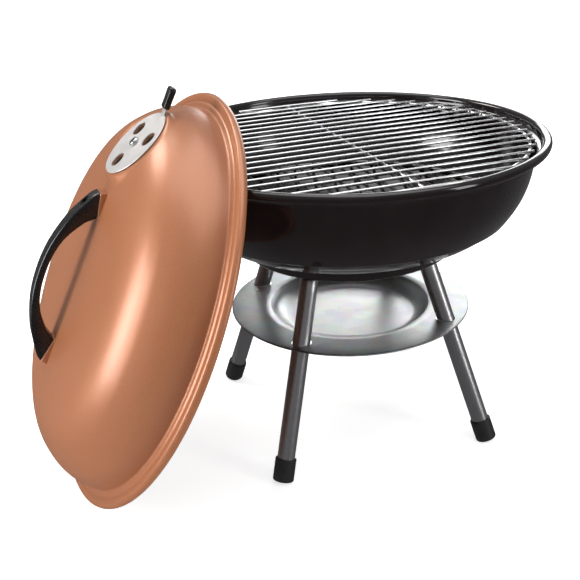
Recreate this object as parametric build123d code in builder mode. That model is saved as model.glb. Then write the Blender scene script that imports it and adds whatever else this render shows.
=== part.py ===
"""Portable tabletop charcoal grill, lid leaning against the bowl.

Millimetres, +Z up, the feet and the lid's lowest edge on Z = 0.
"""
import math
import os

from build123d import *

os.makedirs("parts", exist_ok=True)

# ---- driving dimensions ----------------------------------------------------
AXIS_X = 63.77           # bowl axis from the middle of the whole footprint
AXIS_Y = 33.34
SHEET = 1.2              # enamelled steel of the bowl and the lid

RIM_Z = 286.7            # top of the bowl's rolled rim
RIM_ROLL_R = 4.1         # outer radius of the roll itself
RIM_ROLL_AT = 175.4      # radius of the roll's centre line
FLOOR_Z = 182.2          # underside of the bowl's flat bottom
VENT_PCR = 20.0          # circle the vent holes sit on
VENT_HOLE_R = 7.0

LEG_COUNT = 4
LEG_FIRST_DEG = -30.0    # first leg, from -Y towards +X
LEG_FOOT_R = 143.9       # leg centre lines on the floor
LEG_SPLAY = 0.3716       # outward run per unit of height
LEG_R = 8.0
LEG_WALL = 1.0
LEG_TOP_Z = 174.5
CAP_R = 9.6
CAP_LENGTH = 21.3
CAP_START = 1.2

TRAY_Z = 120.9
TRAY_R = 114.5
TRAY_SHEET = 0.8
TRAY_HOLE_R = 9.3

GRATE_TURN = 18.5        # direction of the cooking bars
BAR_R = 1.2
BAR_PITCH = 15.65
BAR_END_R = 166.0
COOK_BAR_Z = 280.4
COOK_RING_AT = 161.0
COAL_RING_AT = 141.9
COAL_RING_Z = 218.3
COAL_PITCH = 19.0
RING_SIDES = 12          # flats round the section of each grate's rim wire

LID_TURN = 20.2          # azimuth of the lean, from -X towards -Y
LID_LEAN = 26.5          # dome axis above the horizontal
LID_R = 186.0
LID_OUT = 197.6          # lid centre from the bowl axis
LID_UP = 165.57
HANDLE_W = 16.0
SEAT_AT = 126.8          # vent centre from the lid's axis
SEAT_TURN = 2.0
SEAT_TILT = 25.3
SEAT_H = 56.6
SEAT_R = 34.5
DISC_R = 33.0

# ---- shared frames ---------------------------------------------------------
home = Location((AXIS_X, AXIS_Y, 0))
lean = math.radians(LID_LEAN)
turn = math.radians(LID_TURN)
lid_normal = Vector(
    -math.cos(lean) * math.cos(turn),
    -math.cos(lean) * math.sin(turn),
    math.sin(lean),
)
lid_side = Vector(math.sin(turn), -math.cos(turn), 0)
lid_centre = Vector(-LID_OUT * math.cos(turn), -LID_OUT * math.sin(turn), LID_UP)
lid_plane = Plane(origin=lid_centre, x_dir=lid_side, z_dir=lid_normal)
lid_home = home * lid_plane.location

seat_spin = math.radians(SEAT_TURN)
seat_lean = math.radians(SEAT_TILT)
seat_plane = Plane(
    origin=(SEAT_AT * math.sin(seat_spin), SEAT_AT * math.cos(seat_spin), SEAT_H),
    x_dir=(math.cos(seat_spin), -math.sin(seat_spin), 0),
    z_dir=(
        math.sin(seat_lean) * math.sin(seat_spin),
        math.sin(seat_lean) * math.cos(seat_spin),
        math.cos(seat_lean),
    ),
)


def save(part, node, place=home):
    """Put a finished piece in its place and write it out."""
    placed = part.moved(place)
    placed.label = node
    export_step(placed, "parts/" + node + ".step")


def inset(points, by):
    """The same run of points moved square to itself by the sheet's thickness."""
    moved = []
    last = len(points) - 1
    for i in range(last + 1):
        before = points[max(i - 1, 0)]
        after = points[min(i + 1, last)]
        run = after[0] - before[0]
        rise = after[1] - before[1]
        length = math.hypot(run, rise)
        moved.append((points[i][0] - by * rise / length, points[i][1] + by * run / length))
    return moved


def leg_angle(k):
    return math.radians(LEG_FIRST_DEG + 360.0 / LEG_COUNT * k)


def leg_radius(z):
    return LEG_FOOT_R - LEG_SPLAY * z


def around(radius, angle, z=0.0):
    return (radius * math.sin(angle), -radius * math.cos(angle), z)


# ---- bowl ------------------------------------------------------------------
low_wall = [(106.5, 193.2), (116.3, 197.6), (126.0, 202.6), (134.5, 208.1), (142.3, 214.4)]
high_wall = [
    (146.5, 216.9),
    (152.8, 226.2),
    (158.3, 236.4),
    (162.1, 246.5),
    (164.6, 256.6),
    (166.0, 266.0),
    (166.4, 272.5),
]
low_in = inset(low_wall, SHEET)
high_in = inset(high_wall, SHEET)
roll_z = RIM_Z - RIM_ROLL_R
roll_in = RIM_ROLL_R - SHEET
leg_holes = [around(leg_radius(FLOOR_Z), leg_angle(k)) for k in range(LEG_COUNT)]
vent_holes = [around(VENT_PCR, math.radians(90 + 120 * k)) for k in range(3)]
tab_angles = [math.radians(12 + 90 * k) for k in range(4)]

with BuildPart() as bowl:
    with BuildSketch(Plane.XZ):
        with BuildLine():
            Line((0, FLOOR_Z), (95, FLOOR_Z))
            ThreePointArc((95, FLOOR_Z), (99.6, 184.2), (101.5, 188.8))
            ThreePointArc((101.5, 188.8), (102.9, 191.9), low_wall[0])
            Spline(*low_wall)
            Line(low_wall[-1], high_wall[0])
            Spline(*high_wall)
            ThreePointArc(high_wall[-1], (167.6, 275.4), (170.3, 276.8))
            ThreePointArc((170.3, 276.8), (171.9, 277.7), (172.5, 279.4))
            Line((172.5, 279.4), (172.5, roll_z))
            ThreePointArc((172.5, roll_z), (RIM_ROLL_AT, roll_z + roll_in), (RIM_ROLL_AT + roll_in, roll_z))
            ThreePointArc(
                (RIM_ROLL_AT + roll_in, roll_z),
                (RIM_ROLL_AT + 2.05, roll_z - 2.05),
                (RIM_ROLL_AT, roll_z - roll_in),
            )
            Line((RIM_ROLL_AT, roll_z - roll_in), (RIM_ROLL_AT, roll_z - RIM_ROLL_R))
            ThreePointArc(
                (RIM_ROLL_AT, roll_z - RIM_ROLL_R),
                (RIM_ROLL_AT + 2.9, roll_z - 2.9),
                (RIM_ROLL_AT + RIM_ROLL_R, roll_z),
            )
            ThreePointArc(
                (RIM_ROLL_AT + RIM_ROLL_R, roll_z),
                (RIM_ROLL_AT, RIM_Z),
                (RIM_ROLL_AT - RIM_ROLL_R, roll_z),
            )
            Line((RIM_ROLL_AT - RIM_ROLL_R, roll_z), (RIM_ROLL_AT - RIM_ROLL_R, 279.6))
            ThreePointArc((RIM_ROLL_AT - RIM_ROLL_R, 279.6), (170.7, 278.6), (169.9, 278.0))
            ThreePointArc((169.9, 278.0), (166.7, 276.2), high_in[-1])
            Spline(*reversed(high_in))
            Line(high_in[0], low_in[-1])
            Spline(*reversed(low_in))
            ThreePointArc(low_in[0], (101.9, 192.7), (100.3, 189.1))
            ThreePointArc((100.3, 189.1), (98.6, 185.0), (95, FLOOR_Z + SHEET))
            Line((95, FLOOR_Z + SHEET), (0, FLOOR_Z + SHEET))
            Line((0, FLOOR_Z + SHEET), (0, FLOOR_Z))
        make_face()
    revolve(axis=Axis.Z)
    with Locations(*[(x, y, FLOOR_Z) for x, y, z in leg_holes]):
        Cylinder(2.65, 10, mode=Mode.SUBTRACT)
    with Locations(*[(x, y, FLOOR_Z) for x, y, z in vent_holes]):
        Cylinder(VENT_HOLE_R, 10, mode=Mode.SUBTRACT)
    with Locations((0, 0, FLOOR_Z)):
        Cylinder(2.15, 10, mode=Mode.SUBTRACT)
save(bowl.part, "bowl")

# ---- grate rests: four small angle tabs, spot-welded inside the rim ----------------
with BuildPart() as rests:
    for a in tab_angles:
        with BuildSketch(Plane(origin=around(0, 0, 0), x_dir=around(1, a), z_dir=around(1, a - math.pi / 2))):
            with BuildLine():
                Polyline(
                    (156.0, 274.8),
                    (163.7, 274.8),
                    (162.9, 261.0),
                    (163.9, 261.0),
                    (164.9, 275.8),
                    (156.0, 275.8),
                    close=True,
                )
            make_face()
        extrude(amount=6, both=True)
save(rests.part, "grate_rests")

# ---- bottom vent -----------------------------------------------------------
with BuildPart() as bowl_damper:
    with Locations((0, 0, FLOOR_Z - 1.4)):
        Cylinder(31, 1.0, align=(Align.CENTER, Align.CENTER, Align.MIN))
    with Locations(*[(x, y, FLOOR_Z - 1) for x, y, z in vent_holes]):
        Cylinder(VENT_HOLE_R, 10, mode=Mode.SUBTRACT)
    with Locations((0, 0, FLOOR_Z)):
        Cylinder(2.1, 20, mode=Mode.SUBTRACT)
    with BuildSketch(Plane.XZ):
        with BuildLine():
            Polyline(
                (-30, 180.8),
                (-38, 180.8),
                (-43.4, 171.2),
                (-42.5, 170.7),
                (-37.4, 179.8),
                (-30, 179.8),
                (-29, 180.8),
                close=True,
            )
        make_face()
    extrude(amount=7, both=True)
    with Locations((0, 0, FLOOR_Z - 0.4)):
        Cylinder(40, 0.4, align=(Align.CENTER, Align.CENTER, Align.MIN), mode=Mode.SUBTRACT)
save(bowl_damper.part, "bowl_damper")

with BuildPart() as bowl_damper_screw:
    with Locations((0, 0, FLOOR_Z + SHEET)):
        Cylinder(4.2, 2.4, align=(Align.CENTER, Align.CENTER, Align.MIN))
    fillet(bowl_damper_screw.edges().group_by(Axis.Z)[-1], 1.4)
    with Locations((0, 0, FLOOR_Z + SHEET + 2.4)):
        Box(6.4, 1.0, 1.6, mode=Mode.SUBTRACT)
    with Locations((0, 0, FLOOR_Z + SHEET)):
        Cylinder(2.05, 9.2, align=(Align.CENTER, Align.CENTER, Align.MAX))
save(bowl_damper_screw.part, "bowl_damper_screw")

with BuildPart() as bowl_damper_nut:
    with BuildSketch(Plane.XY.offset(FLOOR_Z - 1.7)):
        RegularPolygon(4.0, 6)
        Circle(2.08, mode=Mode.SUBTRACT)
    extrude(amount=-3.2)
    chamfer(bowl_damper_nut.edges().filter_by(GeomType.LINE).group_by(Axis.Z)[0], 0.4)
save(bowl_damper_nut.part, "bowl_damper_nut")

# ---- legs ------------------------------------------------------------------
slant = math.sqrt(1 + LEG_SPLAY ** 2)
leg_names = ["front_left", "front_right", "back_right", "back_left"]
for k in range(LEG_COUNT):
    a = leg_angle(k)
    up = Vector(-LEG_SPLAY * math.sin(a), LEG_SPLAY * math.cos(a), 1)
    axis_plane = Plane(origin=around(LEG_FOOT_R, a), x_dir=(math.cos(a), math.sin(a), 0), z_dir=up)
    top = LEG_TOP_Z * slant

    with BuildPart(axis_plane) as leg:
        with Locations((0, 0, CAP_START + 4.2)):
            Cylinder(LEG_R, top - CAP_START - 4.2, align=(Align.CENTER, Align.CENTER, Align.MIN))
            Cylinder(LEG_R - LEG_WALL, top, align=(Align.CENTER, Align.CENTER, Align.MIN), mode=Mode.SUBTRACT)
        with Locations((0, 0, top - 6)):
            Cylinder(1.2, 30, rotation=(90, 0, 0), mode=Mode.SUBTRACT)
    save(leg.part, "leg_" + leg_names[k])

    with BuildPart(axis_plane) as cap:
        with Locations((0, 0, CAP_START)):
            Cylinder(CAP_R, CAP_LENGTH, align=(Align.CENTER, Align.CENTER, Align.MIN))
        fillet(cap.edges().filter_by(GeomType.CIRCLE), 1.5)
        with Locations((0, 0, CAP_START + 4.2)):
            Cylinder(
                LEG_R + 0.03,
                CAP_LENGTH,
                align=(Align.CENTER, Align.CENTER, Align.MIN),
                mode=Mode.SUBTRACT,
            )
        split(bisect_by=Plane.XY, keep=Keep.TOP)
    save(cap.part, "foot_cap_" + leg_names[k])

    with BuildPart(axis_plane) as stub:
        with Locations((0, 0, top)):
            Cylinder(LEG_R - 1.2, 30, align=(Align.CENTER, Align.CENTER, Align.MIN))
            Cylinder(LEG_R - LEG_WALL - 0.05, 16, align=(Align.CENTER, Align.CENTER, Align.MAX))
        split(bisect_by=Plane.XY.offset(FLOOR_Z), keep=Keep.BOTTOM)

    with BuildPart() as socket:
        add(stub.part)
        with Locations(around(leg_radius(FLOOR_Z), a, FLOOR_Z)):
            Cylinder(2.55, 14, mode=Mode.SUBTRACT)
    save(socket.part, "leg_socket_" + leg_names[k])

with BuildPart() as leg_bolts:
    with Locations(*[(x, y, FLOOR_Z + SHEET + 1.0) for x, y, z in leg_holes]):
        Cylinder(4.7, 3.0, align=(Align.CENTER, Align.CENTER, Align.MIN))
    fillet(leg_bolts.edges().group_by(Axis.Z)[-1], 1.6)
    with Locations(*[(x, y, FLOOR_Z + SHEET + 4.0) for x, y, z in leg_holes]):
        Box(5.0, 1.1, 2.4, mode=Mode.SUBTRACT)
        Box(1.1, 5.0, 2.4, mode=Mode.SUBTRACT)
    with Locations(*[(x, y, FLOOR_Z + SHEET + 1.0) for x, y, z in leg_holes]):
        Cylinder(2.5, 7.0, align=(Align.CENTER, Align.CENTER, Align.MAX))
save(leg_bolts.part, "leg_bolts")

with BuildPart() as leg_washers:
    with Locations(*[(x, y, FLOOR_Z + SHEET) for x, y, z in leg_holes]):
        Cylinder(6.5, 1.0, align=(Align.CENTER, Align.CENTER, Align.MIN))
        Cylinder(2.65, 5, mode=Mode.SUBTRACT)
save(leg_washers.part, "leg_washers")

# ---- ash tray --------------------------------------------------------------
dish = [
    (57.5, TRAY_Z - 12.0),
    (63.0, TRAY_Z - 11.2),
    (69.5, TRAY_Z - 7.6),
    (74.0, TRAY_Z - 2.6),
    (76.8, TRAY_Z),
]
dish_low = [
    (57.9, TRAY_Z - 12.0 - TRAY_SHEET),
    (63.5, TRAY_Z - 11.9),
    (70.2, TRAY_Z - 8.2),
    (74.8, TRAY_Z - 3.2),
    (77.5, TRAY_Z - TRAY_SHEET),
]
tray_hole_at = leg_radius(TRAY_Z - TRAY_SHEET) + LEG_R * slant + 0.08 - TRAY_HOLE_R
with BuildPart() as tray:
    with BuildSketch(Plane.XZ):
        with BuildLine():
            Line((0, TRAY_Z - 12.0), dish[0])
            Spline(*dish)
            Line(dish[-1], (TRAY_R - 1.2, TRAY_Z))
            Line((TRAY_R - 1.2, TRAY_Z), (TRAY_R, TRAY_Z - 0.5))
            Line((TRAY_R, TRAY_Z - 0.5), (TRAY_R, TRAY_Z - 1.4))
            Line((TRAY_R, TRAY_Z - 1.4), (TRAY_R - 1.0, TRAY_Z - TRAY_SHEET))
            Line((TRAY_R - 1.0, TRAY_Z - TRAY_SHEET), dish_low[-1])
            Spline(*reversed(dish_low))
            Line(dish_low[0], (0, TRAY_Z - 12.0 - TRAY_SHEET))
            Line((0, TRAY_Z - 12.0 - TRAY_SHEET), (0, TRAY_Z - 12.0))
        make_face()
    revolve(axis=Axis.Z)
    with Locations(*[around(tray_hole_at, leg_angle(k), TRAY_Z) for k in range(LEG_COUNT)]):
        Cylinder(TRAY_HOLE_R, 8, mode=Mode.SUBTRACT)
save(tray.part, "ash_tray")

# ---- cooking grate ---------------------------------------------------------
grate_home = home * Location((0, 0, 0), (0, 0, GRATE_TURN))
bar_count = 21
seam = math.radians(4)
ring_plane = Plane(
    origin=(0, 0, 0),
    x_dir=(math.cos(seam), math.sin(seam), 0),
    z_dir=(math.sin(seam), -math.cos(seam), 0),
)
with BuildPart() as cooking_grate:
    with BuildSketch(ring_plane):
        with Locations((COOK_RING_AT, COOK_BAR_Z - BAR_R - 1.4)):
            RegularPolygon(1.8, RING_SIDES, rotation=180 / RING_SIDES)
    revolve(axis=Axis.Z)
    with Locations(Location((0, -COOK_RING_AT - 0.4, COOK_BAR_Z - BAR_R - 1.0), (-90, 0, 0))):
        Cylinder(1.3, 2 * COOK_RING_AT + 0.8, align=(Align.CENTER, Align.CENTER, Align.MIN))
    for i in range(bar_count):
        y = (i - (bar_count - 1) / 2) * BAR_PITCH
        half = math.sqrt(BAR_END_R ** 2 - y ** 2)
        with Locations(Location((-half, y, COOK_BAR_Z), (0, 90, 0))):
            Cylinder(BAR_R, 2 * half, align=(Align.CENTER, Align.CENTER, Align.MIN))
save(cooking_grate.part, "cooking_grate", grate_home)

# ---- charcoal grate --------------------------------------------------------
with BuildPart() as coal_grate:
    with BuildSketch(ring_plane):
        with Locations((COAL_RING_AT, COAL_RING_Z)):
            RegularPolygon(2.0, RING_SIDES, rotation=180 / RING_SIDES)
    revolve(axis=Axis.Z)
    for x in (-76.0, 0.3, 76.0):
        half = math.sqrt((COAL_RING_AT - 1.0) ** 2 - x ** 2)
        with Locations(Location((x, -half, COAL_RING_Z - 1.2), (-90, 0, 0))):
            Cylinder(1.5, 2 * half, align=(Align.CENTER, Align.CENTER, Align.MIN))
    for i in range(15):
        y = (i - 7) * COAL_PITCH
        half = math.sqrt((COAL_RING_AT + 0.3) ** 2 - y ** 2)
        with Locations(Location((-half, y, COAL_RING_Z + 1.2), (0, 90, 0))):
            Cylinder(1.5, 2 * half, align=(Align.CENTER, Align.CENTER, Align.MIN))
save(coal_grate.part, "charcoal_grate", home * Location((0, 0, 0), (0, 0, GRATE_TURN + 90)))

# ---- lid shell, in the lid's own frame: Z along the dome's axis ------------------
dome = [
    (0.0, 66.5),
    (40.0, 66.4),
    (75.0, 66.0),
    (100.0, 64.9),
    (118.0, 62.6),
    (131.0, 58.8),
    (142.0, 53.0),
    (152.0, 44.8),
    (161.0, 34.6),
    (166.8, 24.5),
    (170.0, 14.5),
    (171.0, 8.6),
]
dome_in = inset(dome, -SHEET)
dome_in[0] = (0.0, 66.5 - SHEET)
seat_holes = []
for a in (150, 30, 270):
    seat_holes.append((VENT_PCR * math.cos(math.radians(a)), VENT_PCR * math.sin(math.radians(a))))

with BuildPart() as lid_void:
    with BuildSketch(Plane.XZ):
        with BuildLine():
            Spline(*dome_in, tangents=[(1, 0), (0, -1)])
            Line(dome_in[-1], (dome_in[-1][0], -5))
            Line((dome_in[-1][0], -5), (0, -5))
            Line((0, -5), dome_in[0])
        make_face()
    revolve(axis=Axis.Z)
    with Locations(seat_plane.location):
        Cylinder(SEAT_R - SHEET, 22, align=(Align.CENTER, Align.CENTER, Align.MAX))
    with Locations(seat_plane.offset(-SHEET).location):
        Cylinder(SEAT_R + SHEET, 30, align=(Align.CENTER, Align.CENTER, Align.MIN), mode=Mode.SUBTRACT)

with BuildPart() as lid_shell:
    with BuildSketch(Plane.XZ):
        with BuildLine():
            Spline(*dome, tangents=[(1, 0), (0, -1)])
            Line((171.0, 8.6), (171.6, 7.2))
            Line((171.6, 7.2), (176.2, 6.6))
            ThreePointArc((176.2, 6.6), (177.3, 5.9), (178.4, 6.1))
            Line((178.4, 6.1), (182.0, 6.6))
            ThreePointArc((182.0, 6.6), (184.9, 5.5), (LID_R, 2.9))
            ThreePointArc((LID_R, 2.9), (185.2, 0.8), (183.2, 0.0))
            Line((183.2, 0.0), (183.2, 1.2))
            ThreePointArc((183.2, 1.2), (184.3, 1.7), (184.8, 2.9))
            ThreePointArc((184.8, 2.9), (184.0, 4.6), (182.0, 5.4))
            Line((182.0, 5.4), (169.9, 5.4))
            Line((169.9, 5.4), (0, 5.4))
            Line((0, 5.4), (0, 66.5))
        make_face()
    revolve(axis=Axis.Z)
    with Locations(seat_plane.location):
        Cylinder(SEAT_R, 16, align=(Align.CENTER, Align.CENTER, Align.MAX))
        Cylinder(SEAT_R, 20, align=(Align.CENTER, Align.CENTER, Align.MIN), mode=Mode.SUBTRACT)
    for side in (1, -1):
        with BuildSketch(Plane.YZ):
            with BuildLine():
                Polyline(
                    (side * 55.5, 64.0),
                    (side * 55.5, 66.8),
                    (side * 78.6, 71.6),
                    (side * 80.5, 64.0),
                    close=True,
                )
            make_face()
        extrude(amount=HANDLE_W / 2 + 0.8, both=True)
    add(lid_void.part, mode=Mode.SUBTRACT)
    with Locations(seat_plane.location):
        with Locations(*[(x, y, 0) for x, y in seat_holes]):
            Cylinder(VENT_HOLE_R, 12, mode=Mode.SUBTRACT)
        Cylinder(2.15, 12, mode=Mode.SUBTRACT)
    with Locations((0, 67, 66), (0, -67, 66)):
        Cylinder(2.15, 20, mode=Mode.SUBTRACT)
save(lid_shell.part, "lid_shell", lid_home)

# ---- lid handle ------------------------------------------------------------
outer_half = [(25.0, 96.0), (50.0, 88.8), (66.0, 80.6), (78.5, 72.6)]
inner_half = [(17.0, 90.6), (33.0, 86.0), (48.0, 76.6), (56.5, 67.02)]
grip_outer = [(-y, z) for y, z in reversed(outer_half)] + [(0, 98.2)] + outer_half
grip_inner = list(reversed(inner_half)) + [(0, 91.8)] + [(-y, z) for y, z in inner_half]
with BuildPart() as handle:
    with BuildSketch(Plane.YZ):
        with BuildLine():
            Spline(*grip_outer)
            Line((78.5, 72.6), (78.2, 71.53))
            Line((78.2, 71.53), (56.5, 67.02))
            Spline(*grip_inner)
            Line((-56.5, 67.02), (-78.2, 71.53))
            Line((-78.2, 71.53), (-78.5, 72.6))
        make_face()
    extrude(amount=HANDLE_W / 2, both=True)
    with Locations((0, 67, 75.6), (0, -67, 75.6)):
        Cylinder(4.4, 20, align=(Align.CENTER, Align.CENTER, Align.MIN), mode=Mode.SUBTRACT)
    with Locations((0, 67, 66), (0, -67, 66)):
        Cylinder(2.15, 30, mode=Mode.SUBTRACT)
save(handle.part, "lid_handle", lid_home)

screw_spots = ((0, 67), (0, -67))
with BuildPart() as handle_screws:
    with Locations(*[(x, y, 75.6) for x, y in screw_spots]):
        Cylinder(3.9, 2.6, align=(Align.CENTER, Align.CENTER, Align.MIN))
    fillet(handle_screws.edges().group_by(Axis.Z)[-1], 1.2)
    with Locations(*[(x, y, 78.2) for x, y in screw_spots]):
        Box(4.4, 1.0, 2.4, mode=Mode.SUBTRACT)
        Box(1.0, 4.4, 2.4, mode=Mode.SUBTRACT)
    with Locations(*[(x, y, 75.6) for x, y in screw_spots]):
        Cylinder(2.05, 17.6, align=(Align.CENTER, Align.CENTER, Align.MAX))
save(handle_screws.part, "handle_screws", lid_home)

with BuildPart() as handle_washers:
    with Locations(*[(x, y, 63.7) for x, y in screw_spots]):
        Cylinder(5.2, 0.9, align=(Align.CENTER, Align.CENTER, Align.MIN))
        Cylinder(2.12, 5, mode=Mode.SUBTRACT)
save(handle_washers.part, "handle_washers", lid_home)

with BuildPart() as handle_nuts:
    with BuildSketch(Plane.XY.offset(63.7)):
        with Locations(*screw_spots):
            RegularPolygon(4.0, 6)
            Circle(2.08, mode=Mode.SUBTRACT)
    extrude(amount=-3.2)
save(handle_nuts.part, "handle_nuts", lid_home)

# ---- lid vent: turning disc with a bent tab, in the vent's own frame ----------------
vent_home = lid_home * seat_plane.location
with BuildPart() as lid_damper:
    with Locations((0, 0, 0.4)):
        Cylinder(DISC_R, 1.0, align=(Align.CENTER, Align.CENTER, Align.MIN))
        with Locations(*[(x, y, 0) for x, y in seat_holes]):
            Cylinder(VENT_HOLE_R, 12, mode=Mode.SUBTRACT)
    with BuildSketch(Plane.YZ):
        with BuildLine():
            Polyline(
                (28.0, 0.4),
                (31.0, 0.4),
                (51.2, 10.17),
                (50.765, 11.07),
                (30.8, 1.4),
                (28.0, 1.4),
                close=True,
            )
        make_face()
    extrude(amount=4.2, both=True)
    Cylinder(2.1, 12, mode=Mode.SUBTRACT)
save(lid_damper.part, "lid_damper", vent_home)

tab_slope = math.degrees(math.atan2(9.77, 20.2))
with BuildPart() as grip:
    with Locations(Location((0, 37.0, 3.856), (tab_slope, 0, 0))):
        Box(11.5, 18.4, 5.6, align=(Align.CENTER, Align.MIN, Align.CENTER))
        fillet(grip.edges(), 1.3)
        Box(8.46, 15.9, 1.1, align=(Align.CENTER, Align.MIN, Align.CENTER), mode=Mode.SUBTRACT)
save(grip.part, "damper_grip", vent_home)

with BuildPart() as lid_damper_screw:
    with Locations((0, 0, 1.7)):
        Cylinder(4.4, 2.5, align=(Align.CENTER, Align.CENTER, Align.MIN))
    fillet(lid_damper_screw.edges().group_by(Axis.Z)[-1], 1.5)
    with Locations((0, 0, 4.2)):
        Box(5.4, 1.0, 2.0, mode=Mode.SUBTRACT)
        Box(1.0, 5.4, 2.0, mode=Mode.SUBTRACT)
    with Locations((0, 0, 1.7)):
        Cylinder(2.05, 9.4, align=(Align.CENTER, Align.CENTER, Align.MAX))
save(lid_damper_screw.part, "lid_damper_screw", vent_home)

with BuildPart() as lid_damper_nut:
    with BuildSketch(Plane.XY.offset(-SHEET - 0.02)):
        RegularPolygon(4.0, 6)
        Circle(2.08, mode=Mode.SUBTRACT)
    extrude(amount=-3.2)
save(lid_damper_nut.part, "lid_damper_nut", vent_home)
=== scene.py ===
"""Looks of the portable tabletop charcoal grill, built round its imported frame.

Runs of points are in millimetres, in the frame of the piece they belong to.
"""

import math

import bmesh
import bpy
from mathutils import Matrix, Vector


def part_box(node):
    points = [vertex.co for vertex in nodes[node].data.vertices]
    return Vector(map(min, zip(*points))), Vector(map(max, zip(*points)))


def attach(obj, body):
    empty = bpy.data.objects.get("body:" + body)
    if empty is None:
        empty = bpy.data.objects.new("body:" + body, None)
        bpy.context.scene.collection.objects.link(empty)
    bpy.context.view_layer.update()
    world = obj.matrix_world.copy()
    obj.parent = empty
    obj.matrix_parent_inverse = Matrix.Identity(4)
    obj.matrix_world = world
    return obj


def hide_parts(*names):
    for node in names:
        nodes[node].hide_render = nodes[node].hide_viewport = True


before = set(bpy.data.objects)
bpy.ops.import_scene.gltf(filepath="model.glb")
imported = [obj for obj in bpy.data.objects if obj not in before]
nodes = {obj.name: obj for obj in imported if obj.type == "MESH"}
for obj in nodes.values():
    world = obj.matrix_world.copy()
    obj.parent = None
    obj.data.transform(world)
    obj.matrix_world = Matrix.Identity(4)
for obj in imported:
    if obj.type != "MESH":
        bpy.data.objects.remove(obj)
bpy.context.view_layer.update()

MM = 0.001

# ---- the grill's own frames and sizes, in millimetres and radians -----------
bowl_low, bowl_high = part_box("bowl")
bowl_home = Matrix.Translation(((bowl_low.x + bowl_high.x) / 2, (bowl_low.y + bowl_high.y) / 2, 0))

LID_TURN = math.radians(20.2)
LID_LEAN = math.radians(26.5)
LID_OUT = 197.6
LID_UP = 165.57
SEAT_AT = 126.8
SEAT_TURN = math.radians(2.0)
SEAT_TILT = math.radians(25.3)
SEAT_H = 56.6
VENT_PCR = 20.0
VENT_HOLE_R = 7.0
DISC_R = 33.0
HANDLE_W = 16.0
SCREW_AT = 67
LEG_FOOT_R = 143.9
LEG_SPLAY = 0.3716
LEG_TOP_Z = 174.5
LEG_R = 8.0
TRAY_HOLE_R = 9.3
COOK_RING_AT = 161.0
COAL_RING_AT = 141.9
BAR_PITCH = 15.65
COAL_PITCH = 19.0
GRATE_TURN = math.radians(18.5)


def frame_at(origin, x_dir, z_dir):
    """A matrix whose X and Z run along the two directions, its origin given in millimetres."""
    z = Vector(z_dir).normalized()
    x = (Vector(x_dir) - z * z.dot(Vector(x_dir))).normalized()
    y = z.cross(x)
    turned = Matrix((x, y, z)).transposed().to_4x4()
    return Matrix.Translation(Vector(origin) * MM) @ turned


lid_home = bowl_home @ frame_at(
    (-LID_OUT * math.cos(LID_TURN), -LID_OUT * math.sin(LID_TURN), LID_UP),
    (math.sin(LID_TURN), -math.cos(LID_TURN), 0),
    (
        -math.cos(LID_LEAN) * math.cos(LID_TURN),
        -math.cos(LID_LEAN) * math.sin(LID_TURN),
        math.sin(LID_LEAN),
    ),
)
seat_local = frame_at(
    (SEAT_AT * math.sin(SEAT_TURN), SEAT_AT * math.cos(SEAT_TURN), SEAT_H),
    (math.cos(SEAT_TURN), -math.sin(SEAT_TURN), 0),
    (
        math.sin(SEAT_TILT) * math.sin(SEAT_TURN),
        math.sin(SEAT_TILT) * math.cos(SEAT_TURN),
        math.cos(SEAT_TILT),
    ),
)
seat_home = lid_home @ seat_local

# ---- shaping tools ----------------------------------------------------------


def curve(points, per=8):
    """A smooth run through the points, with per steps between neighbours."""
    run = []
    last = len(points) - 1
    for i in range(last):
        p0 = Vector(points[max(i - 1, 0)])
        p1 = Vector(points[i])
        p2 = Vector(points[i + 1])
        p3 = Vector(points[min(i + 2, last)])
        for k in range(per):
            t = k / per
            a = 2 * p1
            b = p2 - p0
            c = 2 * p0 - 5 * p1 + 4 * p2 - p3
            d = -p0 + 3 * p1 - 3 * p2 + p3
            run.append(tuple((a + b * t + c * t * t + d * t ** 3) / 2))
    run.append(tuple(points[last]))
    return run


def arc(x, y, radius, start, end, steps=8):
    """A run round a centre, from one angle in degrees to another."""
    run = []
    for i in range(steps + 1):
        a = math.radians(start + (end - start) * i / steps)
        run.append((x + radius * math.cos(a), y + radius * math.sin(a)))
    return run


def offset(run, by):
    """A run moved square to itself."""
    moved = []
    last = len(run) - 1
    for i in range(last + 1):
        ahead = Vector(run[min(i + 1, last)]) - Vector(run[max(i - 1, 0)])
        ahead.normalize()
        moved.append((run[i][0] - by * ahead.y, run[i][1] + by * ahead.x))
    return moved


def spin(run, steps=192):
    """Points and faces of a profile of (radius, height) turned about Z."""
    points = []
    faces = []
    rows = []
    for radius, height in run:
        if radius < 1e-6:
            rows.append([len(points)])
            points.append((0.0, 0.0, height))
            continue
        rows.append(list(range(len(points), len(points) + steps)))
        for i in range(steps):
            a = 2 * math.pi * i / steps
            points.append((radius * math.cos(a), radius * math.sin(a), height))
    for low, high in zip(rows, rows[1:]):
        for i in range(steps):
            j = (i + 1) % steps
            if len(low) == 1 and len(high) == 1:
                continue
            if len(low) == 1:
                faces.append((low[0], high[j], high[i]))
            elif len(high) == 1:
                faces.append((low[i], low[j], high[0]))
            else:
                faces.append((low[i], low[j], high[j], high[i]))
    return points, faces


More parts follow.
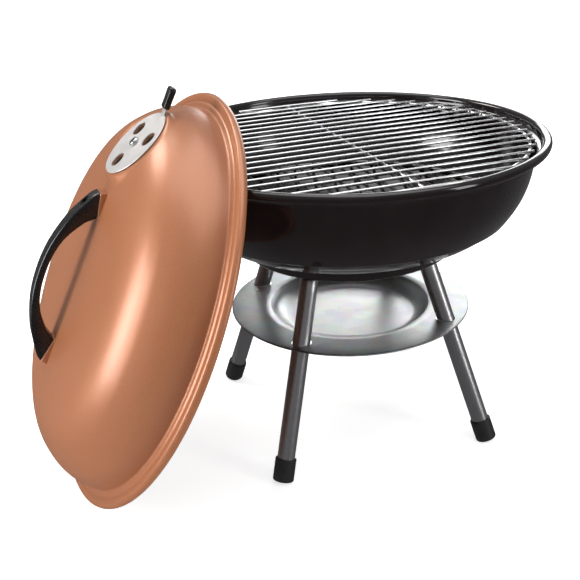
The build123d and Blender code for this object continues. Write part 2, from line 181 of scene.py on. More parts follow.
def wire(path, radius, sides=16, closed=False):
    """A round wire along a path, its ends rounded unless it closes on itself."""
    line = [Vector(p) for p in path]
    radii = [radius] * len(line)
    if not closed:
        first = (line[0] - line[1]).normalized()
        final = (line[-1] - line[-2]).normalized()
        head = []
        tail = []
        for s in (0.985, 0.8, 0.45):
            back = radius * (1 - s) * 0.8
            thin = radius * math.sqrt(1 - s * s)
            head.append((line[0] - first * back, thin))
            tail.insert(0, (line[-1] - final * back, thin))
        start = line[0] - first * radius * 0.8
        stop = line[-1] - final * radius * 0.8
        line = [p for p, r in head] + [start] + line[1:-1] + [stop] + [p for p, r in tail]
        radii = [r for p, r in head] + radii + [r for p, r in tail]
    count = len(line)
    points = []
    faces = []
    side = None
    for i in range(count):
        if closed:
            ahead = line[(i + 1) % count] - line[i - 1]
        else:
            ahead = line[min(i + 1, count - 1)] - line[max(i - 1, 0)]
        ahead.normalize()
        if side is None:
            side = ahead.cross(Vector((0, 0, 1)))
            if side.length < 0.1:
                side = ahead.cross(Vector((1, 0, 0)))
        side = (side - ahead * side.dot(ahead)).normalized()
        up = side.cross(ahead)
        for k in range(sides):
            a = 2 * math.pi * k / sides
            points.append(tuple(line[i] + (side * math.cos(a) + up * math.sin(a)) * radii[i]))
    for i in range(count if closed else count - 1):
        n = (i + 1) % count
        for k in range(sides):
            j = (k + 1) % sides
            faces.append((i * sides + k, i * sides + j, n * sides + j, n * sides + k))
    if not closed:
        faces.append(tuple(range(sides)))
        faces.append(tuple(reversed(range((count - 1) * sides, count * sides))))
    return points, faces


def loft(sections):
    """Skin between closed sections that all have the same number of points, capped at both ends."""
    size = len(sections[0])
    points = [p for section in sections for p in section]
    faces = []
    for i in range(len(sections) - 1):
        for k in range(size):
            j = (k + 1) % size
            faces.append((i * size + k, i * size + j, (i + 1) * size + j, (i + 1) * size + k))
    faces.append(tuple(range(size)))
    faces.append(tuple(reversed(range((len(sections) - 1) * size, len(sections) * size))))
    return points, faces


def rounded(width, height, radius, steps=5):
    """A closed rounded rectangle about the origin."""
    radius = min(radius, width / 2 * 0.98, height / 2 * 0.98)
    run = []
    for x, y, start in ((1, 1, 0), (-1, 1, 90), (-1, -1, 180), (1, -1, 270)):
        run += arc(x * (width / 2 - radius), y * (height / 2 - radius), radius, start, start + 90, steps)
    return run


def joined(parts):
    """Several runs of points and faces as one."""
    points = []
    faces = []
    for more_points, more_faces in parts:
        start = len(points)
        points += more_points
        faces += [tuple(i + start for i in f) for f in more_faces]
    return points, faces


def moved(part, matrix):
    """A part turned and shifted; the matrix's shift is in millimetres."""
    points, faces = part
    return [tuple(matrix @ Vector(p)) for p in points], faces


def piece(name, part, material, body=None, home=bowl_home, stands_for=(), sharp=35):
    """A mesh object, smooth but for edges sharper than the angle, riding on its body if it has one."""
    points, faces = part
    mesh = bpy.data.meshes.new(name)
    mesh.from_pydata([home @ (Vector(p) * MM) for p in points], [], faces)
    shaper = bmesh.new()
    shaper.from_mesh(mesh)
    bmesh.ops.remove_doubles(shaper, verts=shaper.verts, dist=1e-6)
    bmesh.ops.recalc_face_normals(shaper, faces=shaper.faces)
    shaper.to_mesh(mesh)
    shaper.free()
    made = bpy.data.objects.new(name, mesh)
    bpy.context.scene.collection.objects.link(made)
    if material:
        mesh.materials.append(material)
    smooth(made, sharp)
    if body:
        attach(made, body)
    if stands_for:
        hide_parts(*stands_for)
    return made


def smooth(made, sharp):
    made.data.shade_smooth()
    made.data.set_sharp_from_angle(angle=math.radians(sharp))


def settled(made):
    """Writes the object's modifiers into its mesh."""
    bpy.context.view_layer.update()
    seen = made.evaluated_get(bpy.context.evaluated_depsgraph_get())
    fresh = bpy.data.meshes.new_from_object(seen)
    made.modifiers.clear()
    made.data = fresh


def cut(made, tools, sharp=35):
    """Takes the tools' solids out of the piece."""
    for tool in tools:
        carve = made.modifiers.new("cut", "BOOLEAN")
        carve.operation = "DIFFERENCE"
        carve.solver = "EXACT"
        carve.object = tool
    settled(made)
    for tool in tools:
        bpy.data.objects.remove(tool)
    smooth(made, sharp)


def drill(radius, low, high, matrix, home, steps=48):
    """A plain cylinder to cut with, along the matrix's Z."""
    part = spin([(0, low), (radius, low), (radius, high), (0, high)], steps)
    return piece("drill", moved(part, matrix), None, home=home)


def eased(made, width, steps=2, angle=30):
    """Rounds the piece's edges."""
    weld = made.modifiers.new("weld", "WELD")
    weld.merge_threshold = 0.00001
    ease = made.modifiers.new("ease", "BEVEL")
    ease.width = width * MM
    ease.segments = steps
    ease.limit_method = "ANGLE"
    ease.angle_limit = math.radians(angle)
    ease.harden_normals = False
    return made


def shifted(x, y, z):
    return Matrix.Translation((x, y, z))


def polar(radius, degrees, z=0.0):
    """A point round the bowl, from the front towards the right."""
    a = math.radians(degrees)
    return (radius * math.sin(a), -radius * math.cos(a), z)


# ---- material tools ---------------------------------------------------------


class Paint:
    """A node material, its colours and surface worked out from the piece's own coordinates."""

    def __init__(self, name, colour, metallic, roughness, home=None):
        self.material = bpy.data.materials.new(name)
        self.material.use_nodes = True
        self.tree = self.material.node_tree
        self.tree.nodes.clear()
        self.shader = self.tree.nodes.new("ShaderNodeBsdfPrincipled")
        output = self.tree.nodes.new("ShaderNodeOutputMaterial")
        self.tree.links.new(self.shader.outputs["BSDF"], output.inputs["Surface"])
        self.shader.inputs["Base Color"].default_value = (*colour, 1)
        self.shader.inputs["Metallic"].default_value = metallic
        self.shader.inputs["Roughness"].default_value = roughness
        place = self.tree.nodes.new("ShaderNodeTexCoord")
        self.place = place.outputs["Object"]
        if home is not None:
            inverse = home.inverted()
            self.place = self.mapped(self.place, inverse.to_euler(), inverse.translation)

    def mapped(self, source, turn=(0, 0, 0), shift=(0, 0, 0), scale=(1, 1, 1)):
        node = self.tree.nodes.new("ShaderNodeMapping")
        node.inputs["Rotation"].default_value = tuple(turn)
        node.inputs["Location"].default_value = tuple(shift)
        node.inputs["Scale"].default_value = scale
        self.tree.links.new(source, node.inputs["Vector"])
        return node.outputs["Vector"]

    def noise(self, scale, detail=2.0, rough=0.5, stretch=None, source=None):
        node = self.tree.nodes.new("ShaderNodeTexNoise")
        node.inputs["Scale"].default_value = scale
        node.inputs["Detail"].default_value = detail
        node.inputs["Roughness"].default_value = rough
        vector = source or self.place
        if stretch:
            vector = self.mapped(vector, scale=stretch)
        self.tree.links.new(vector, node.inputs["Vector"])
        return node.outputs["Fac"]

    def cells(self, scale):
        """A flat random colour to each cell."""
        node = self.tree.nodes.new("ShaderNodeTexVoronoi")
        node.inputs["Scale"].default_value = scale
        self.tree.links.new(self.place, node.inputs["Vector"])
        return node.outputs["Color"]

    def polar_place(self, round_scale, out_scale):
        """Coordinates that run round the piece's axis and out from it."""
        split = self.tree.nodes.new("ShaderNodeSeparateXYZ")
        self.tree.links.new(self.place, split.inputs[0])
        x, y, z = split.outputs
        angle = self.math("ARCTAN2", y, x)
        flat = self.tree.nodes.new("ShaderNodeCombineXYZ")
        self.tree.links.new(x, flat.inputs[0])
        self.tree.links.new(y, flat.inputs[1])
        length = self.tree.nodes.new("ShaderNodeVectorMath")
        length.operation = "LENGTH"
        self.tree.links.new(flat.outputs[0], length.inputs[0])
        made = self.tree.nodes.new("ShaderNodeCombineXYZ")
        self.tree.links.new(self.math("MULTIPLY", angle, round_scale), made.inputs[0])
        self.tree.links.new(self.math("MULTIPLY", length.outputs["Value"], out_scale), made.inputs[1])
        self.tree.links.new(self.math("MULTIPLY", z, out_scale), made.inputs[2])
        return made.outputs[0]

    def math(self, kind, a, b):
        node = self.tree.nodes.new("ShaderNodeMath")
        node.operation = kind
        for socket, value in zip(node.inputs, (a, b)):
            if isinstance(value, (int, float)):
                socket.default_value = value
            else:
                self.tree.links.new(value, socket)
        return node.outputs[0]

    def ramp(self, source, *stops):
        node = self.tree.nodes.new("ShaderNodeValToRGB")
        ramp = node.color_ramp
        while len(ramp.elements) < len(stops):
            ramp.elements.new(0.5)
        for element, (at, value) in zip(ramp.elements, stops):
            element.position = at
            element.color = (value, value, value, 1) if isinstance(value, (int, float)) else (*value, 1)
        self.tree.links.new(source, node.inputs["Fac"])
        return node.outputs["Color"]

    def blend(self, share, a, b, kind="MIX"):
        node = self.tree.nodes.new("ShaderNodeMix")
        node.data_type = "RGBA"
        node.blend_type = kind
        for socket, value in ((node.inputs["Factor"], share), (node.inputs[6], a), (node.inputs[7], b)):
            if isinstance(value, (int, float)):
                socket.default_value = value
            elif isinstance(value, tuple):
                socket.default_value = (*value, 1)
            else:
                self.tree.links.new(value, socket)
        return node.outputs[2]

    def colour(self, source):
        self.tree.links.new(source, self.shader.inputs["Base Color"])

    def rough(self, source):
        self.tree.links.new(source, self.shader.inputs["Roughness"])

    def bump(self, source, height):
        """Relief with the given height in millimetres."""
        node = self.tree.nodes.new("ShaderNodeBump")
        node.inputs["Distance"].default_value = height * MM
        node.inputs["Strength"].default_value = 1.0
        self.tree.links.new(source, node.inputs["Height"])
        linked = self.shader.inputs["Normal"].links
        if linked:
            self.tree.links.new(linked[0].from_socket, node.inputs["Normal"])
        self.tree.links.new(node.outputs["Normal"], self.shader.inputs["Normal"])

    def gloss(self, coat, coat_roughness, specular=0.5):
        self.shader.inputs["Coat Weight"].default_value = coat
        self.shader.inputs["Coat Roughness"].default_value = coat_roughness
        self.shader.inputs["Specular IOR Level"].default_value = specular


# ---- materials --------------------------------------------------------------
copper = Paint("copper_paint", (0.41, 0.15, 0.065), 0.3, 0.36)
flake = copper.noise(2600, 2, 0.6)
cloud = copper.noise(9, 3, 0.5)
flake_share = copper.ramp(flake, (0.35, 0.0), (0.65, 1.0))
tone = copper.blend(flake_share, (0.36, 0.128, 0.052), (0.46, 0.175, 0.076))
copper.colour(copper.blend(copper.ramp(cloud, (0.3, 0.0), (0.7, 0.22)), tone, (0.40, 0.15, 0.064)))
copper.rough(copper.ramp(cloud, (0.25, 0.36), (0.75, 0.43)))
copper.bump(copper.noise(520, 3, 0.6), 0.012)
copper.gloss(0.45, 0.27)

# A darker brown than the copper for the inside of the lid, its tone and roughness mottled at random by a
# noise.
lining = Paint("dark_brown_lining", (0.10, 0.045, 0.028), 0.1, 0.42)
lining_mottle = lining.noise(26, 4, 0.6)
lining.colour(lining.ramp(lining_mottle, (0.3, (0.055, 0.026, 0.018)), (0.7, (0.125, 0.056, 0.034))))
lining.rough(lining.ramp(lining_mottle, (0.3, 0.36), (0.7, 0.52)))
lining.bump(lining.noise(520, 3, 0.6), 0.012)

enamel = Paint("black_enamel", (0.006, 0.0045, 0.0045), 0.0, 0.16)
enamel_tone = enamel.noise(30, 4)
enamel.colour(enamel.ramp(enamel_tone, (0.3, (0.0042, 0.0026, 0.0028)), (0.7, (0.0085, 0.005, 0.005))))
enamel.rough(enamel.ramp(enamel.noise(60, 5, 0.65), (0.3, 0.09), (0.7, 0.15)))
enamel.bump(enamel.noise(240, 2, 0.4), 0.014)
enamel.gloss(0.3, 0.08, 0.45)

tube = Paint("plated_tube", (0.50, 0.495, 0.50), 1.0, 0.3)
drawn = tube.noise(60, 4, 0.6, stretch=(14, 14, 0.7))
tube.colour(tube.ramp(drawn, (0.3, (0.50, 0.49, 0.50)), (0.7, (0.58, 0.57, 0.575))))
tube.rough(tube.ramp(drawn, (0.25, 0.30), (0.75, 0.36)))
tube.bump(drawn, 0.0012)

tray_paint = Paint("galvanised_sheet", (0.60, 0.62, 0.635), 1.0, 0.32)
spangle = tray_paint.cells(95)
grain = tray_paint.noise(70, 5, 0.65)
zinc = tray_paint.ramp(grain, (0.3, (0.44, 0.455, 0.46)), (0.7, (0.51, 0.525, 0.53)))
tray_paint.colour(tray_paint.blend(0.07, zinc, spangle, "OVERLAY"))
tray_paint.rough(tray_paint.ramp(grain, (0.3, 0.34), (0.7, 0.43)))
tray_paint.bump(tray_paint.noise(34, 3), 0.03)

chrome = Paint("chromed_wire", (0.70, 0.70, 0.71), 1.0, 0.12)
chrome.colour(chrome.ramp(chrome.noise(90, 3), (0.3, (0.66, 0.66, 0.67)), (0.7, (0.82, 0.82, 0.83))))
chrome.rough(chrome.ramp(chrome.noise(220, 4), (0.3, 0.10), (0.7, 0.2)))
chrome.bump(chrome.noise(500, 2), 0.01)

coal_wire = Paint("plain_wire", (0.42, 0.41, 0.40), 1.0, 0.3)
mill_scale = coal_wire.noise(110, 4)
coal_wire.colour(coal_wire.ramp(mill_scale, (0.3, (0.13, 0.125, 0.12)), (0.7, (0.24, 0.235, 0.23))))
coal_wire.rough(coal_wire.ramp(coal_wire.noise(180, 4), (0.3, 0.22), (0.7, 0.38)))
coal_wire.bump(coal_wire.noise(700, 2), 0.015)

sheet = Paint("stamped_aluminium", (0.76, 0.75, 0.745), 0.7, 0.4, home=seat_home)
turned = sheet.noise(1.0, 4, 0.7, source=sheet.polar_place(3.0, 2600))
sheet.colour(sheet.ramp(turned, (0.3, (0.56, 0.55, 0.55)), (0.7, (0.66, 0.65, 0.65))))
sheet.rough(sheet.ramp(sheet.noise(160, 4), (0.3, 0.36), (0.7, 0.48)))
sheet.bump(turned, 0.01)

plated = Paint("plated_fastener", (0.62, 0.62, 0.63), 1.0, 0.18)
plated.colour(plated.ramp(plated.noise(260, 4), (0.3, (0.52, 0.52, 0.53)), (0.7, (0.70, 0.70, 0.71))))
plated.rough(plated.ramp(plated.noise(320, 4), (0.3, 0.12), (0.7, 0.26)))
plated.bump(plated.noise(900, 2), 0.01)

dark_screw = Paint("blackened_screw", (0.02, 0.02, 0.021), 0.6, 0.4)
oxide = dark_screw.noise(400, 4)
dark_screw.colour(dark_screw.ramp(oxide, (0.3, (0.012, 0.012, 0.012)), (0.7, (0.04, 0.038, 0.036))))
dark_screw.rough(dark_screw.ramp(dark_screw.noise(500, 3), (0.3, 0.32), (0.7, 0.5)))

plastic = Paint("black_phenolic", (0.013, 0.013, 0.014), 0.0, 0.38)
moulding = plastic.noise(45, 4)
plastic.colour(plastic.ramp(moulding, (0.3, (0.004, 0.004, 0.0045)), (0.7, (0.009, 0.009, 0.0095))))
plastic.rough(plastic.ramp(plastic.noise(800, 3), (0.3, 0.20), (0.7, 0.30)))
plastic.bump(plastic.noise(1900, 2), 0.006)
plastic.gloss(0.0, 0.1, 0.55)

rubber = Paint("black_rubber", (0.012, 0.012, 0.013), 0.0, 0.55)
rubber.colour(rubber.ramp(rubber.noise(60, 4), (0.3, (0.009, 0.009, 0.010)), (0.7, (0.020, 0.020, 0.021))))
rubber.rough(rubber.ramp(rubber.noise(400, 4), (0.3, 0.46), (0.7, 0.64)))
rubber.bump(rubber.noise(1400, 3), 0.02)

# ---- bowl -------------------------------------------------------------------
low_wall = [(106.5, 193.2), (116.3, 197.6), (126.0, 202.6), (134.5, 208.1), (142.3, 214.4)]
high_wall = [(146.5, 216.9), (152.8, 226.2), (158.3, 236.4), (162.1, 246.5)]
high_wall += [(164.6, 256.6), (166.0, 266.0), (166.4, 272.5)]
skin = [(0.0, 182.2), (30.0, 182.2), (60.0, 182.2), (90.0, 182.2), (95.0, 182.2)]
skin += curve([(97.2, 182.7), (99.6, 184.2), (101.5, 188.8), (102.9, 191.9), (106.5, 193.2)], 5)
skin += curve(low_wall, 8)[1:]
skin += curve([(142.3, 214.4), (143.7, 215.6), (145.2, 216.0), (146.5, 216.9)], 4)[1:]
skin += curve(high_wall, 8)[1:]
skin += curve([(166.4, 272.5), (167.6, 275.4), (170.3, 276.8), (171.9, 277.7), (172.5, 279.4)], 5)[1:]
roll = arc(175.4, 282.6, 4.1, 180, -90, 24)
inner = offset(skin, 1.2)
inner[0] = (0.0, 183.4)
bowl_run = skin + [(172.5, 280.5), (173.3, 279.3)] + list(reversed(roll)) + [(171.3, 279.6), (170.7, 278.7)]
bowl_run += [p for p in reversed(inner) if p[0] < 170.2]
bowl_part = spin(bowl_run, 256)
bowl = piece("bowl_shell", bowl_part, enamel.material, "base", bowl_home, ("bowl",), 55)
vent_spots = [polar(VENT_PCR, 90 + 120 * k) for k in range(3)]
cut(bowl, [drill(VENT_HOLE_R, 178, 188, shifted(x, y, 0), bowl_home) for x, y, z in vent_spots], 55)

# ---- legs, caps and sockets -------------------------------------------------
leg_names = ("front_left", "front_right", "back_right", "back_left")
slant = math.sqrt(1 + LEG_SPLAY ** 2)
top = LEG_TOP_Z * slant
for k in range(4):
    side = leg_names[k]
    degrees = -30 + 90 * k
    a = math.radians(degrees)
    up = (-LEG_SPLAY * math.sin(a), LEG_SPLAY * math.cos(a), 1)
    leg_home = bowl_home @ frame_at(polar(LEG_FOOT_R, degrees), (math.cos(a), math.sin(a), 0), up)
    leg_run = [(7.0, 5.6), (LEG_R, 5.6), (LEG_R, 12)]
    leg_run += [(LEG_R, 12 + (top - 24) * i / 12) for i in range(1, 13)]
    leg_run += [(LEG_R, top - 0.7), (7.8, top - 0.2), (7.4, top), (7.0, top), (7.0, 5.6)]
    tube_part = spin(leg_run, 64)
    stands = ("leg_" + side,)
    leg = piece("leg_tube_" + side, tube_part, tube.material, "base", leg_home, stands)
    across = shifted(0, 0, top - 6) @ Matrix.Rotation(math.radians(90), 4, "X")
    cut(leg, [drill(1.2, -12, 0, across, leg_home, 20)])
    cap_run = [(0.0, 1.2), (7.9, 1.2)] + arc(7.9, 2.9, 1.7, -90, 0, 6)
    cap_run += [(9.6, 8.0), (9.6, 14.0), (9.6, 20.6)]
    cap_run += arc(8.8, 21.6, 0.8, 0, 90, 5) + [(8.25, 22.3), (8.05, 21.9), (8.05, 5.4), (0.0, 5.4)]
    cap_part = spin(cap_run, 64)
    stands = ("foot_cap_" + side,)
    cap = piece("leg_cap_" + side, cap_part, rubber.material, "base", leg_home, stands, 40)
    for v in cap.data.vertices:
        v.co.z = max(v.co.z, 0.0)
    nodes["leg_socket_" + side].data.materials.clear()
    nodes["leg_socket_" + side].data.materials.append(plastic.material)

# ---- ash tray ---------------------------------------------------------------
TRAY_Z = 120.9
dish_top = [(57.5, TRAY_Z - 12.0), (63.0, TRAY_Z - 11.2), (69.5, TRAY_Z - 7.6), (74.0, TRAY_Z - 2.6)]
dish = curve(dish_top + [(76.8, TRAY_Z)], 6)
dish_under = [(57.9, TRAY_Z - 12.8), (63.5, TRAY_Z - 11.9), (70.2, TRAY_Z - 8.2), (74.8, TRAY_Z - 3.2)]
dish_low = curve(dish_under + [(77.5, TRAY_Z - 0.8)], 6)
tray_run = [(0.0, TRAY_Z - 12.0), (20.0, TRAY_Z - 12.0), (40.0, TRAY_Z - 12.0), (55.0, TRAY_Z - 12.0)] + dish
tray_run += [(85.0, TRAY_Z), (100.0, TRAY_Z), (112.6, TRAY_Z), (113.6, TRAY_Z - 0.1), (114.3, TRAY_Z - 0.45)]
tray_run += [(114.5, TRAY_Z - 0.9), (114.2, TRAY_Z - 1.25), (113.6, TRAY_Z - 1.2), (112.6, TRAY_Z - 0.8)]
tray_run += [(100.0, TRAY_Z - 0.8), (85.0, TRAY_Z - 0.8)] + list(reversed(dish_low))
tray_run += [(40.0, TRAY_Z - 12.8), (0.0, TRAY_Z - 12.8)]
tray_part = spin(tray_run, 256)
stands = ("ash_tray",)
tray = piece("ash_tray_sheet", tray_part, tray_paint.material, "base", bowl_home, stands, 50)
hole_at = LEG_FOOT_R - LEG_SPLAY * (TRAY_Z - 0.8) + LEG_R * slant + 0.08 - TRAY_HOLE_R
tray_spots = [shifted(*polar(hole_at, -30 + 90 * k)) for k in range(4)]
cut(tray, [drill(TRAY_HOLE_R, TRAY_Z - 6, TRAY_Z + 6, spot, bowl_home, 64) for spot in tray_spots], 50)

# ---- grates -----------------------------------------------------------------
grate_home = bowl_home @ Matrix.Rotation(GRATE_TURN, 4, "Z")
BAR_Z = 280.4
BAR_R = 1.2
ring = [(x, y, BAR_Z - BAR_R - 1.4) for x, y in arc(0, 0, COOK_RING_AT, 0, 358, 179)]
bars = [wire(ring, 1.8, 14, closed=True)]
low = BAR_Z - BAR_R - 1.0
bars.append(wire([(0, -161.4, low), (0, 0, low), (0, 161.4, low)], 1.3, 14))
for i in range(21):
    y = (i - 10) * BAR_PITCH
    half = math.sqrt(166.0 ** 2 - y * y)
    bars.append(wire([(-half, y, BAR_Z), (0, y, BAR_Z), (half, y, BAR_Z)], BAR_R, 14))
    spots = [(0, y)] + [(s * math.sqrt(COOK_RING_AT ** 2 - y * y), y) for s in (-1, 1)]
    for x, y_spot in spots:
        bead = spin([(0, -1.1), (0.8, -0.9), (1.35, -0.3), (1.45, 0.2), (1.0, 0.7), (0, 0.9)], 12)
        bars.append(moved(bead, shifted(x, y_spot, BAR_Z - 1.2)))
wires = joined(bars)
stands = ("cooking_grate",)
plating = chrome.material
piece("cooking_grate_wires", wires, plating, "cooking_grate", grate_home, stands, 60)

coal_home = bowl_home @ Matrix.Rotation(GRATE_TURN + math.radians(90), 4, "Z")
COAL_Z = 218.3
ring = [(x, y, COAL_Z) for x, y in arc(0, 0, COAL_RING_AT, 0, 357, 119)]
bars = [wire(ring, 2.0, 12, closed=True)]
for x in (-76.0, 0.3, 76.0):
    half = math.sqrt(140.9 ** 2 - x * x)
    bars.append(wire([(x, -half, COAL_Z - 1.2), (x, half, COAL_Z - 1.2)], 1.5, 12))
for i in range(15):
    y = (i - 7) * COAL_PITCH
    half = math.sqrt(142.2 ** 2 - y * y)
    bars.append(wire([(-half, y, COAL_Z + 1.2), (half, y, COAL_Z + 1.2)], 1.5, 12))
wires = joined(bars)
stands = ("charcoal_grate",)
bare = coal_wire.material
piece("charcoal_grate_wires", wires, bare, "charcoal_grate", coal_home, stands, 60)

# ---- lid --------------------------------------------------------------------
dome = [(0.0, 66.5), (20.0, 66.48), (40.0, 66.4), (60.0, 66.25), (75.0, 66.0), (88.0, 65.6), (100.0, 64.9)]
dome += [(110.0, 63.9), (118.0, 62.6), (125.0, 60.9), (131.0, 58.8), (137.0, 56.0), (142.0, 53.0)]
dome += [(147.5, 49.0), (152.0, 44.8), (157.0, 39.6), (161.0, 34.6), (164.3, 29.4), (166.8, 24.5)]
dome += [(168.8, 19.0), (170.0, 14.5), (171.0, 8.6)]
outer = curve(dome, 4)
inner = [(max(r, 0.0), h) for r, h in offset(outer, -1.2)]
inner[0] = (0.0, 65.3)
brim = [(171.1, 7.9), (171.6, 7.25), (173.5, 6.95), (175.4, 6.85), (176.2, 6.6)]
brim += [(176.7, 6.15), (177.3, 5.95), (177.9, 6.0), (178.4, 6.2), (180.2, 6.55)]
edge = arc(182.3, 3.0, 3.7, 75, -70, 14)
edge_in = arc(182.3, 3.0, 2.5, -60, 80, 12)
under = [(180.5, 5.3), (177.3, 4.75), (174.5, 5.4), (170.6, 5.7), (169.85, 6.4)]
lid_run = outer + brim + edge + edge_in + under + [p for p in reversed(inner) if p[1] > 7.5]
lid = piece("lid_dome", spin(lid_run, 320), copper.material, None, Matrix.Identity(4), sharp=60)
lid.data.materials.append(lining.material)
for face in lid.data.polygons:
    outward = face.center - Vector((0, 0, -0.04))
    if face.normal.dot(outward) < 0 and face.center.xy.length < 0.1745:
        face.material_index = 1
to_seat = seat_local.inverted()
for v in lid.data.vertices:
    q = to_seat @ v.co
    away = math.hypot(q.x, q.y) / MM
    if away < 41 and q.z > -0.02:
        hold = min(1.0, max(0.0, (40.0 - away) / 5.2))
        hold = hold * hold * (3 - 2 * hold)
        radius = math.hypot(v.co.x, v.co.y) / MM
        height = v.co.z / MM
        near = min(outer, key=lambda p: (p[0] - radius) ** 2 + (p[1] - height) ** 2)
        outside = math.hypot(near[0] - radius, near[1] - height) < 0.6
        q.z += hold * ((0.0 if outside else -1.2 * MM) - q.z)
        v.co = seat_local @ q
lid.data.transform(lid_home)
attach(lid, "lid")
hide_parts("lid_shell")
seat_spots = []
for d in (150, 30, 270):
    seat_spots.append((VENT_PCR * math.cos(math.radians(d)), VENT_PCR * math.sin(math.radians(d))))
cut(lid, [drill(VENT_HOLE_R, -6, 6, shifted(x, y, 0), seat_home) for x, y in seat_spots], 60)

for side, end in ((1, "high"), (-1, "low")):
    foot = [(side * 54.5, 64.4), (side * 55.6, 66.7), (side * 78.6, 71.5), (side * 80.4, 64.4)]
    sections = [[(x, y, z) for y, z in foot] for x in (-8.8, 8.8)]
    boss = piece("handle_boss_" + end, loft(sections), copper.material, "lid", lid_home)
    eased(boss, 1.3, 4)
    settled(boss)
    smooth(boss, 40)

# ---- lid handle -------------------------------------------------------------
outer_half = [(25.0, 96.0), (50.0, 88.8), (66.0, 80.8), (74.0, 76.2), (78.5, 72.0)]
inner_half = [(17.0, 90.6), (33.0, 86.0), (48.0, 76.6), (53.4, 71.2), (56.5, 67.1)]
outside = curve([(-y, z) for y, z in reversed(outer_half)] + [(0, 98.2)] + outer_half, 8)
inside = curve([(-y, z) for y, z in reversed(inner_half)] + [(0, 91.8)] + inner_half, 8)
sections = []
for (y0, z0), (y1, z1) in zip(outside, inside):
    mid = Vector(((y0 + y1) / 2, (z0 + z1) / 2))
    across = Vector((y0 - y1, z0 - z1))
    thick = across.length
    across.normalize()
    outline = rounded(HANDLE_W, thick, 2.2, 5)
    sections.append([(x, mid.x + across.x * t, mid.y + across.y * t) for x, t in outline])
grip_part = loft(sections)
stands = ("lid_handle",)
handle = piece("handle_grip", grip_part, plastic.material, "lid", lid_home, stands, 50)
cut(handle, [drill(4.4, 75.6, 96, shifted(0, y, 0), lid_home) for y in (SCREW_AT, -SCREW_AT)], 50)

# ---- lid vent ---------------------------------------------------------------
disc_run = [(0.0, 0.4), (DISC_R - 0.4, 0.4), (DISC_R, 0.6), (DISC_R, 1.15), (DISC_R - 0.25, 1.4), (0.0, 1.4)]
disc = piece("vent_disc", spin(disc_run, 128), sheet.material, "lid_vent", seat_home)
cut(disc, [drill(VENT_HOLE_R, -2, 4, shifted(x, y, 0), seat_home) for x, y in seat_spots])
eased(disc, 0.22, 2)
tab_line = curve([(25.0, 0.9), (28.5, 0.9), (31.0, 1.1), (34.5, 2.6), (42.0, 6.27), (50.9, 10.57)], 6)
sections = []
for i, (y, z) in enumerate(tab_line):
    ahead = Vector(tab_line[min(i + 1, len(tab_line) - 1)]) - Vector(tab_line[max(i - 1, 0)])
    ahead.normalize()
    sections.append([(x, y - ahead.y * t, z + ahead.x * t) for x, t in rounded(8.4, 1.0, 0.3, 3)])
piece("vent_tab", loft(sections), sheet.material, "lid_vent", seat_home, ("lid_damper",))

tab_slope = math.atan2(9.77, 20.2)
grip_frame = shifted(0, 37.0, 3.856) @ Matrix.Rotation(tab_slope, 4, "X")
sections = []
grip_sizes = ((0.0, 9.2, 3.6), (0.5, 10.4, 4.7), (1.6, 11.3, 5.4), (8.0, 11.2, 5.3), (15.0, 11.5, 5.6))
grip_sizes += ((17.2, 11.2, 5.3), (18.0, 10.4, 4.6), (18.4, 9.2, 3.6))
for y, wide, thick in grip_sizes:
    sections.append([(x, y, t) for x, t in rounded(wide, thick, 1.6, 5)])
grip_part = moved(loft(sections), grip_frame)
piece("vent_grip", grip_part, plastic.material, "lid_vent", seat_home, ("damper_grip",), 50)

# ---- hardware kept from the frame, in new finishes --------------------------
finishes = {
    "grate_rests": plated,
    "bowl_damper": sheet,
    "bowl_damper_screw": plated,
    "bowl_damper_nut": plated,
    "leg_bolts": plated,
    "leg_washers": plated,
    "handle_screws": dark_screw,
    "handle_washers": plated,
    "handle_nuts": plated,
    "lid_damper_screw": plated,
    "lid_damper_nut": plated,
}
for name, paint in finishes.items():
    nodes[name].data.materials.clear()
    nodes[name].data.materials.append(paint.material)
    eased(nodes[name], 0.2, 2, 40)

# ---- floor, light and camera ------------------------------------------------
pale = Paint("pale_floor", (0.93, 0.93, 0.93), 0.0, 0.85)
pale.colour(pale.ramp(pale.noise(3, 2), (0.3, (0.925, 0.925, 0.925)), (0.7, (0.935, 0.935, 0.935))))
pale.shader.inputs["Emission Color"].default_value = (1, 1, 1, 1)
pale.shader.inputs["Emission Strength"].default_value = 0.7
FLOOR_HALF = 6000
corners = [(x * FLOOR_HALF, y * FLOOR_HALF, 0) for x, y in ((-1, -1), (1, -1), (1, 1), (-1, 1))]
floor_part = (corners, [(0, 1, 2, 3)])
floor = piece("floor", floor_part, pale.material, home=Matrix.Identity(4))
floor.visible_glossy = False


def lamp(name, at, target, width, height, power, tint=(1, 1, 1)):
    """A soft box at a place in metres, facing its target."""
    light = bpy.data.lights.new(name, "AREA")
    light.shape = "RECTANGLE"
    light.size = width
    light.size_y = height
    light.energy = power
    light.color = tint
    made = bpy.data.objects.new(name, light)
    made.location = at
    made.rotation_euler = (Vector(target) - Vector(at)).to_track_quat("-Z", "Y").to_euler()
    bpy.context.scene.collection.objects.link(made)


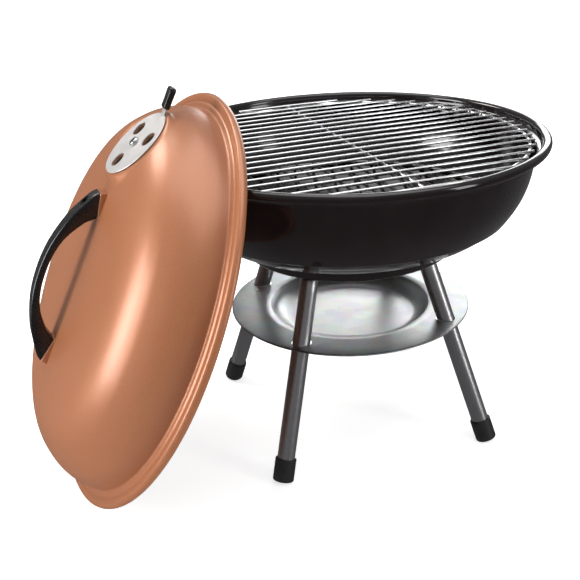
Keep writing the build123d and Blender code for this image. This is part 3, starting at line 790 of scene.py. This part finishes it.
middle = (0.0, 0.0, 0.17)
lamp("side", (-1.8, -0.42, 0.62), middle, 0.7, 1.3, 31)
lamp("top", (0.1, 0.1, 2.3), middle, 2.4, 1.8, 30)
lamp("fill", (1.5, -0.9, 0.6), middle, 0.35, 1.1, 7)
lamp("rear", (0.6, 1.8, 0.8), middle, 1.4, 0.5, 10)
lamp("glare", (-0.95, 0.8, 1.35), (0.1, 0.05, 0.26), 0.5, 0.35, 7, (1.0, 0.95, 0.87))

world = bpy.data.worlds.new("studio")
bpy.context.scene.world = world
world.use_nodes = True
room = world.node_tree
backdrop = room.nodes["Background"]
rays = room.nodes.new("ShaderNodeLightPath")
place = room.nodes.new("ShaderNodeTexCoord")
split = room.nodes.new("ShaderNodeSeparateXYZ")
room.links.new(place.outputs["Generated"], split.inputs[0])
walls = room.nodes.new("ShaderNodeValToRGB")
walls.color_ramp.elements[0].position = 0.0
walls.color_ramp.elements[0].color = (0.12, 0.12, 0.125, 1)
walls.color_ramp.elements[1].position = 0.75
walls.color_ramp.elements[1].color = (0.40, 0.40, 0.405, 1)
room.links.new(split.outputs["Z"], walls.inputs["Fac"])
shade = room.nodes.new("ShaderNodeMix")
shade.data_type = "RGBA"
shade.inputs[7].default_value = (1.0, 1.0, 1.0, 1)
room.links.new(walls.outputs["Color"], shade.inputs[6])
room.links.new(rays.outputs["Is Camera Ray"], shade.inputs["Factor"])
room.links.new(shade.outputs[2], backdrop.inputs["Color"])
backdrop.inputs["Strength"].default_value = 1.0
bpy.context.scene.view_settings.view_transform = "Standard"

camera = bpy.data.cameras.new("camera")
camera.lens = 55.32
camera.sensor_width = 36
camera.clip_end = 50
eye = bpy.data.objects.new("camera", camera)
right = Vector((0.99892, -0.01913, -0.04245))
above = Vector((0.04656, 0.41048, 0.91068))
back = right.cross(above)
turned_to = Matrix((right, above, back)).transposed().to_4x4()
eye.matrix_world = bowl_home @ Matrix.Translation((-0.05749, -0.79079, 0.49038)) @ turned_to
bpy.context.scene.collection.objects.link(eye)
bpy.context.scene.camera = eye
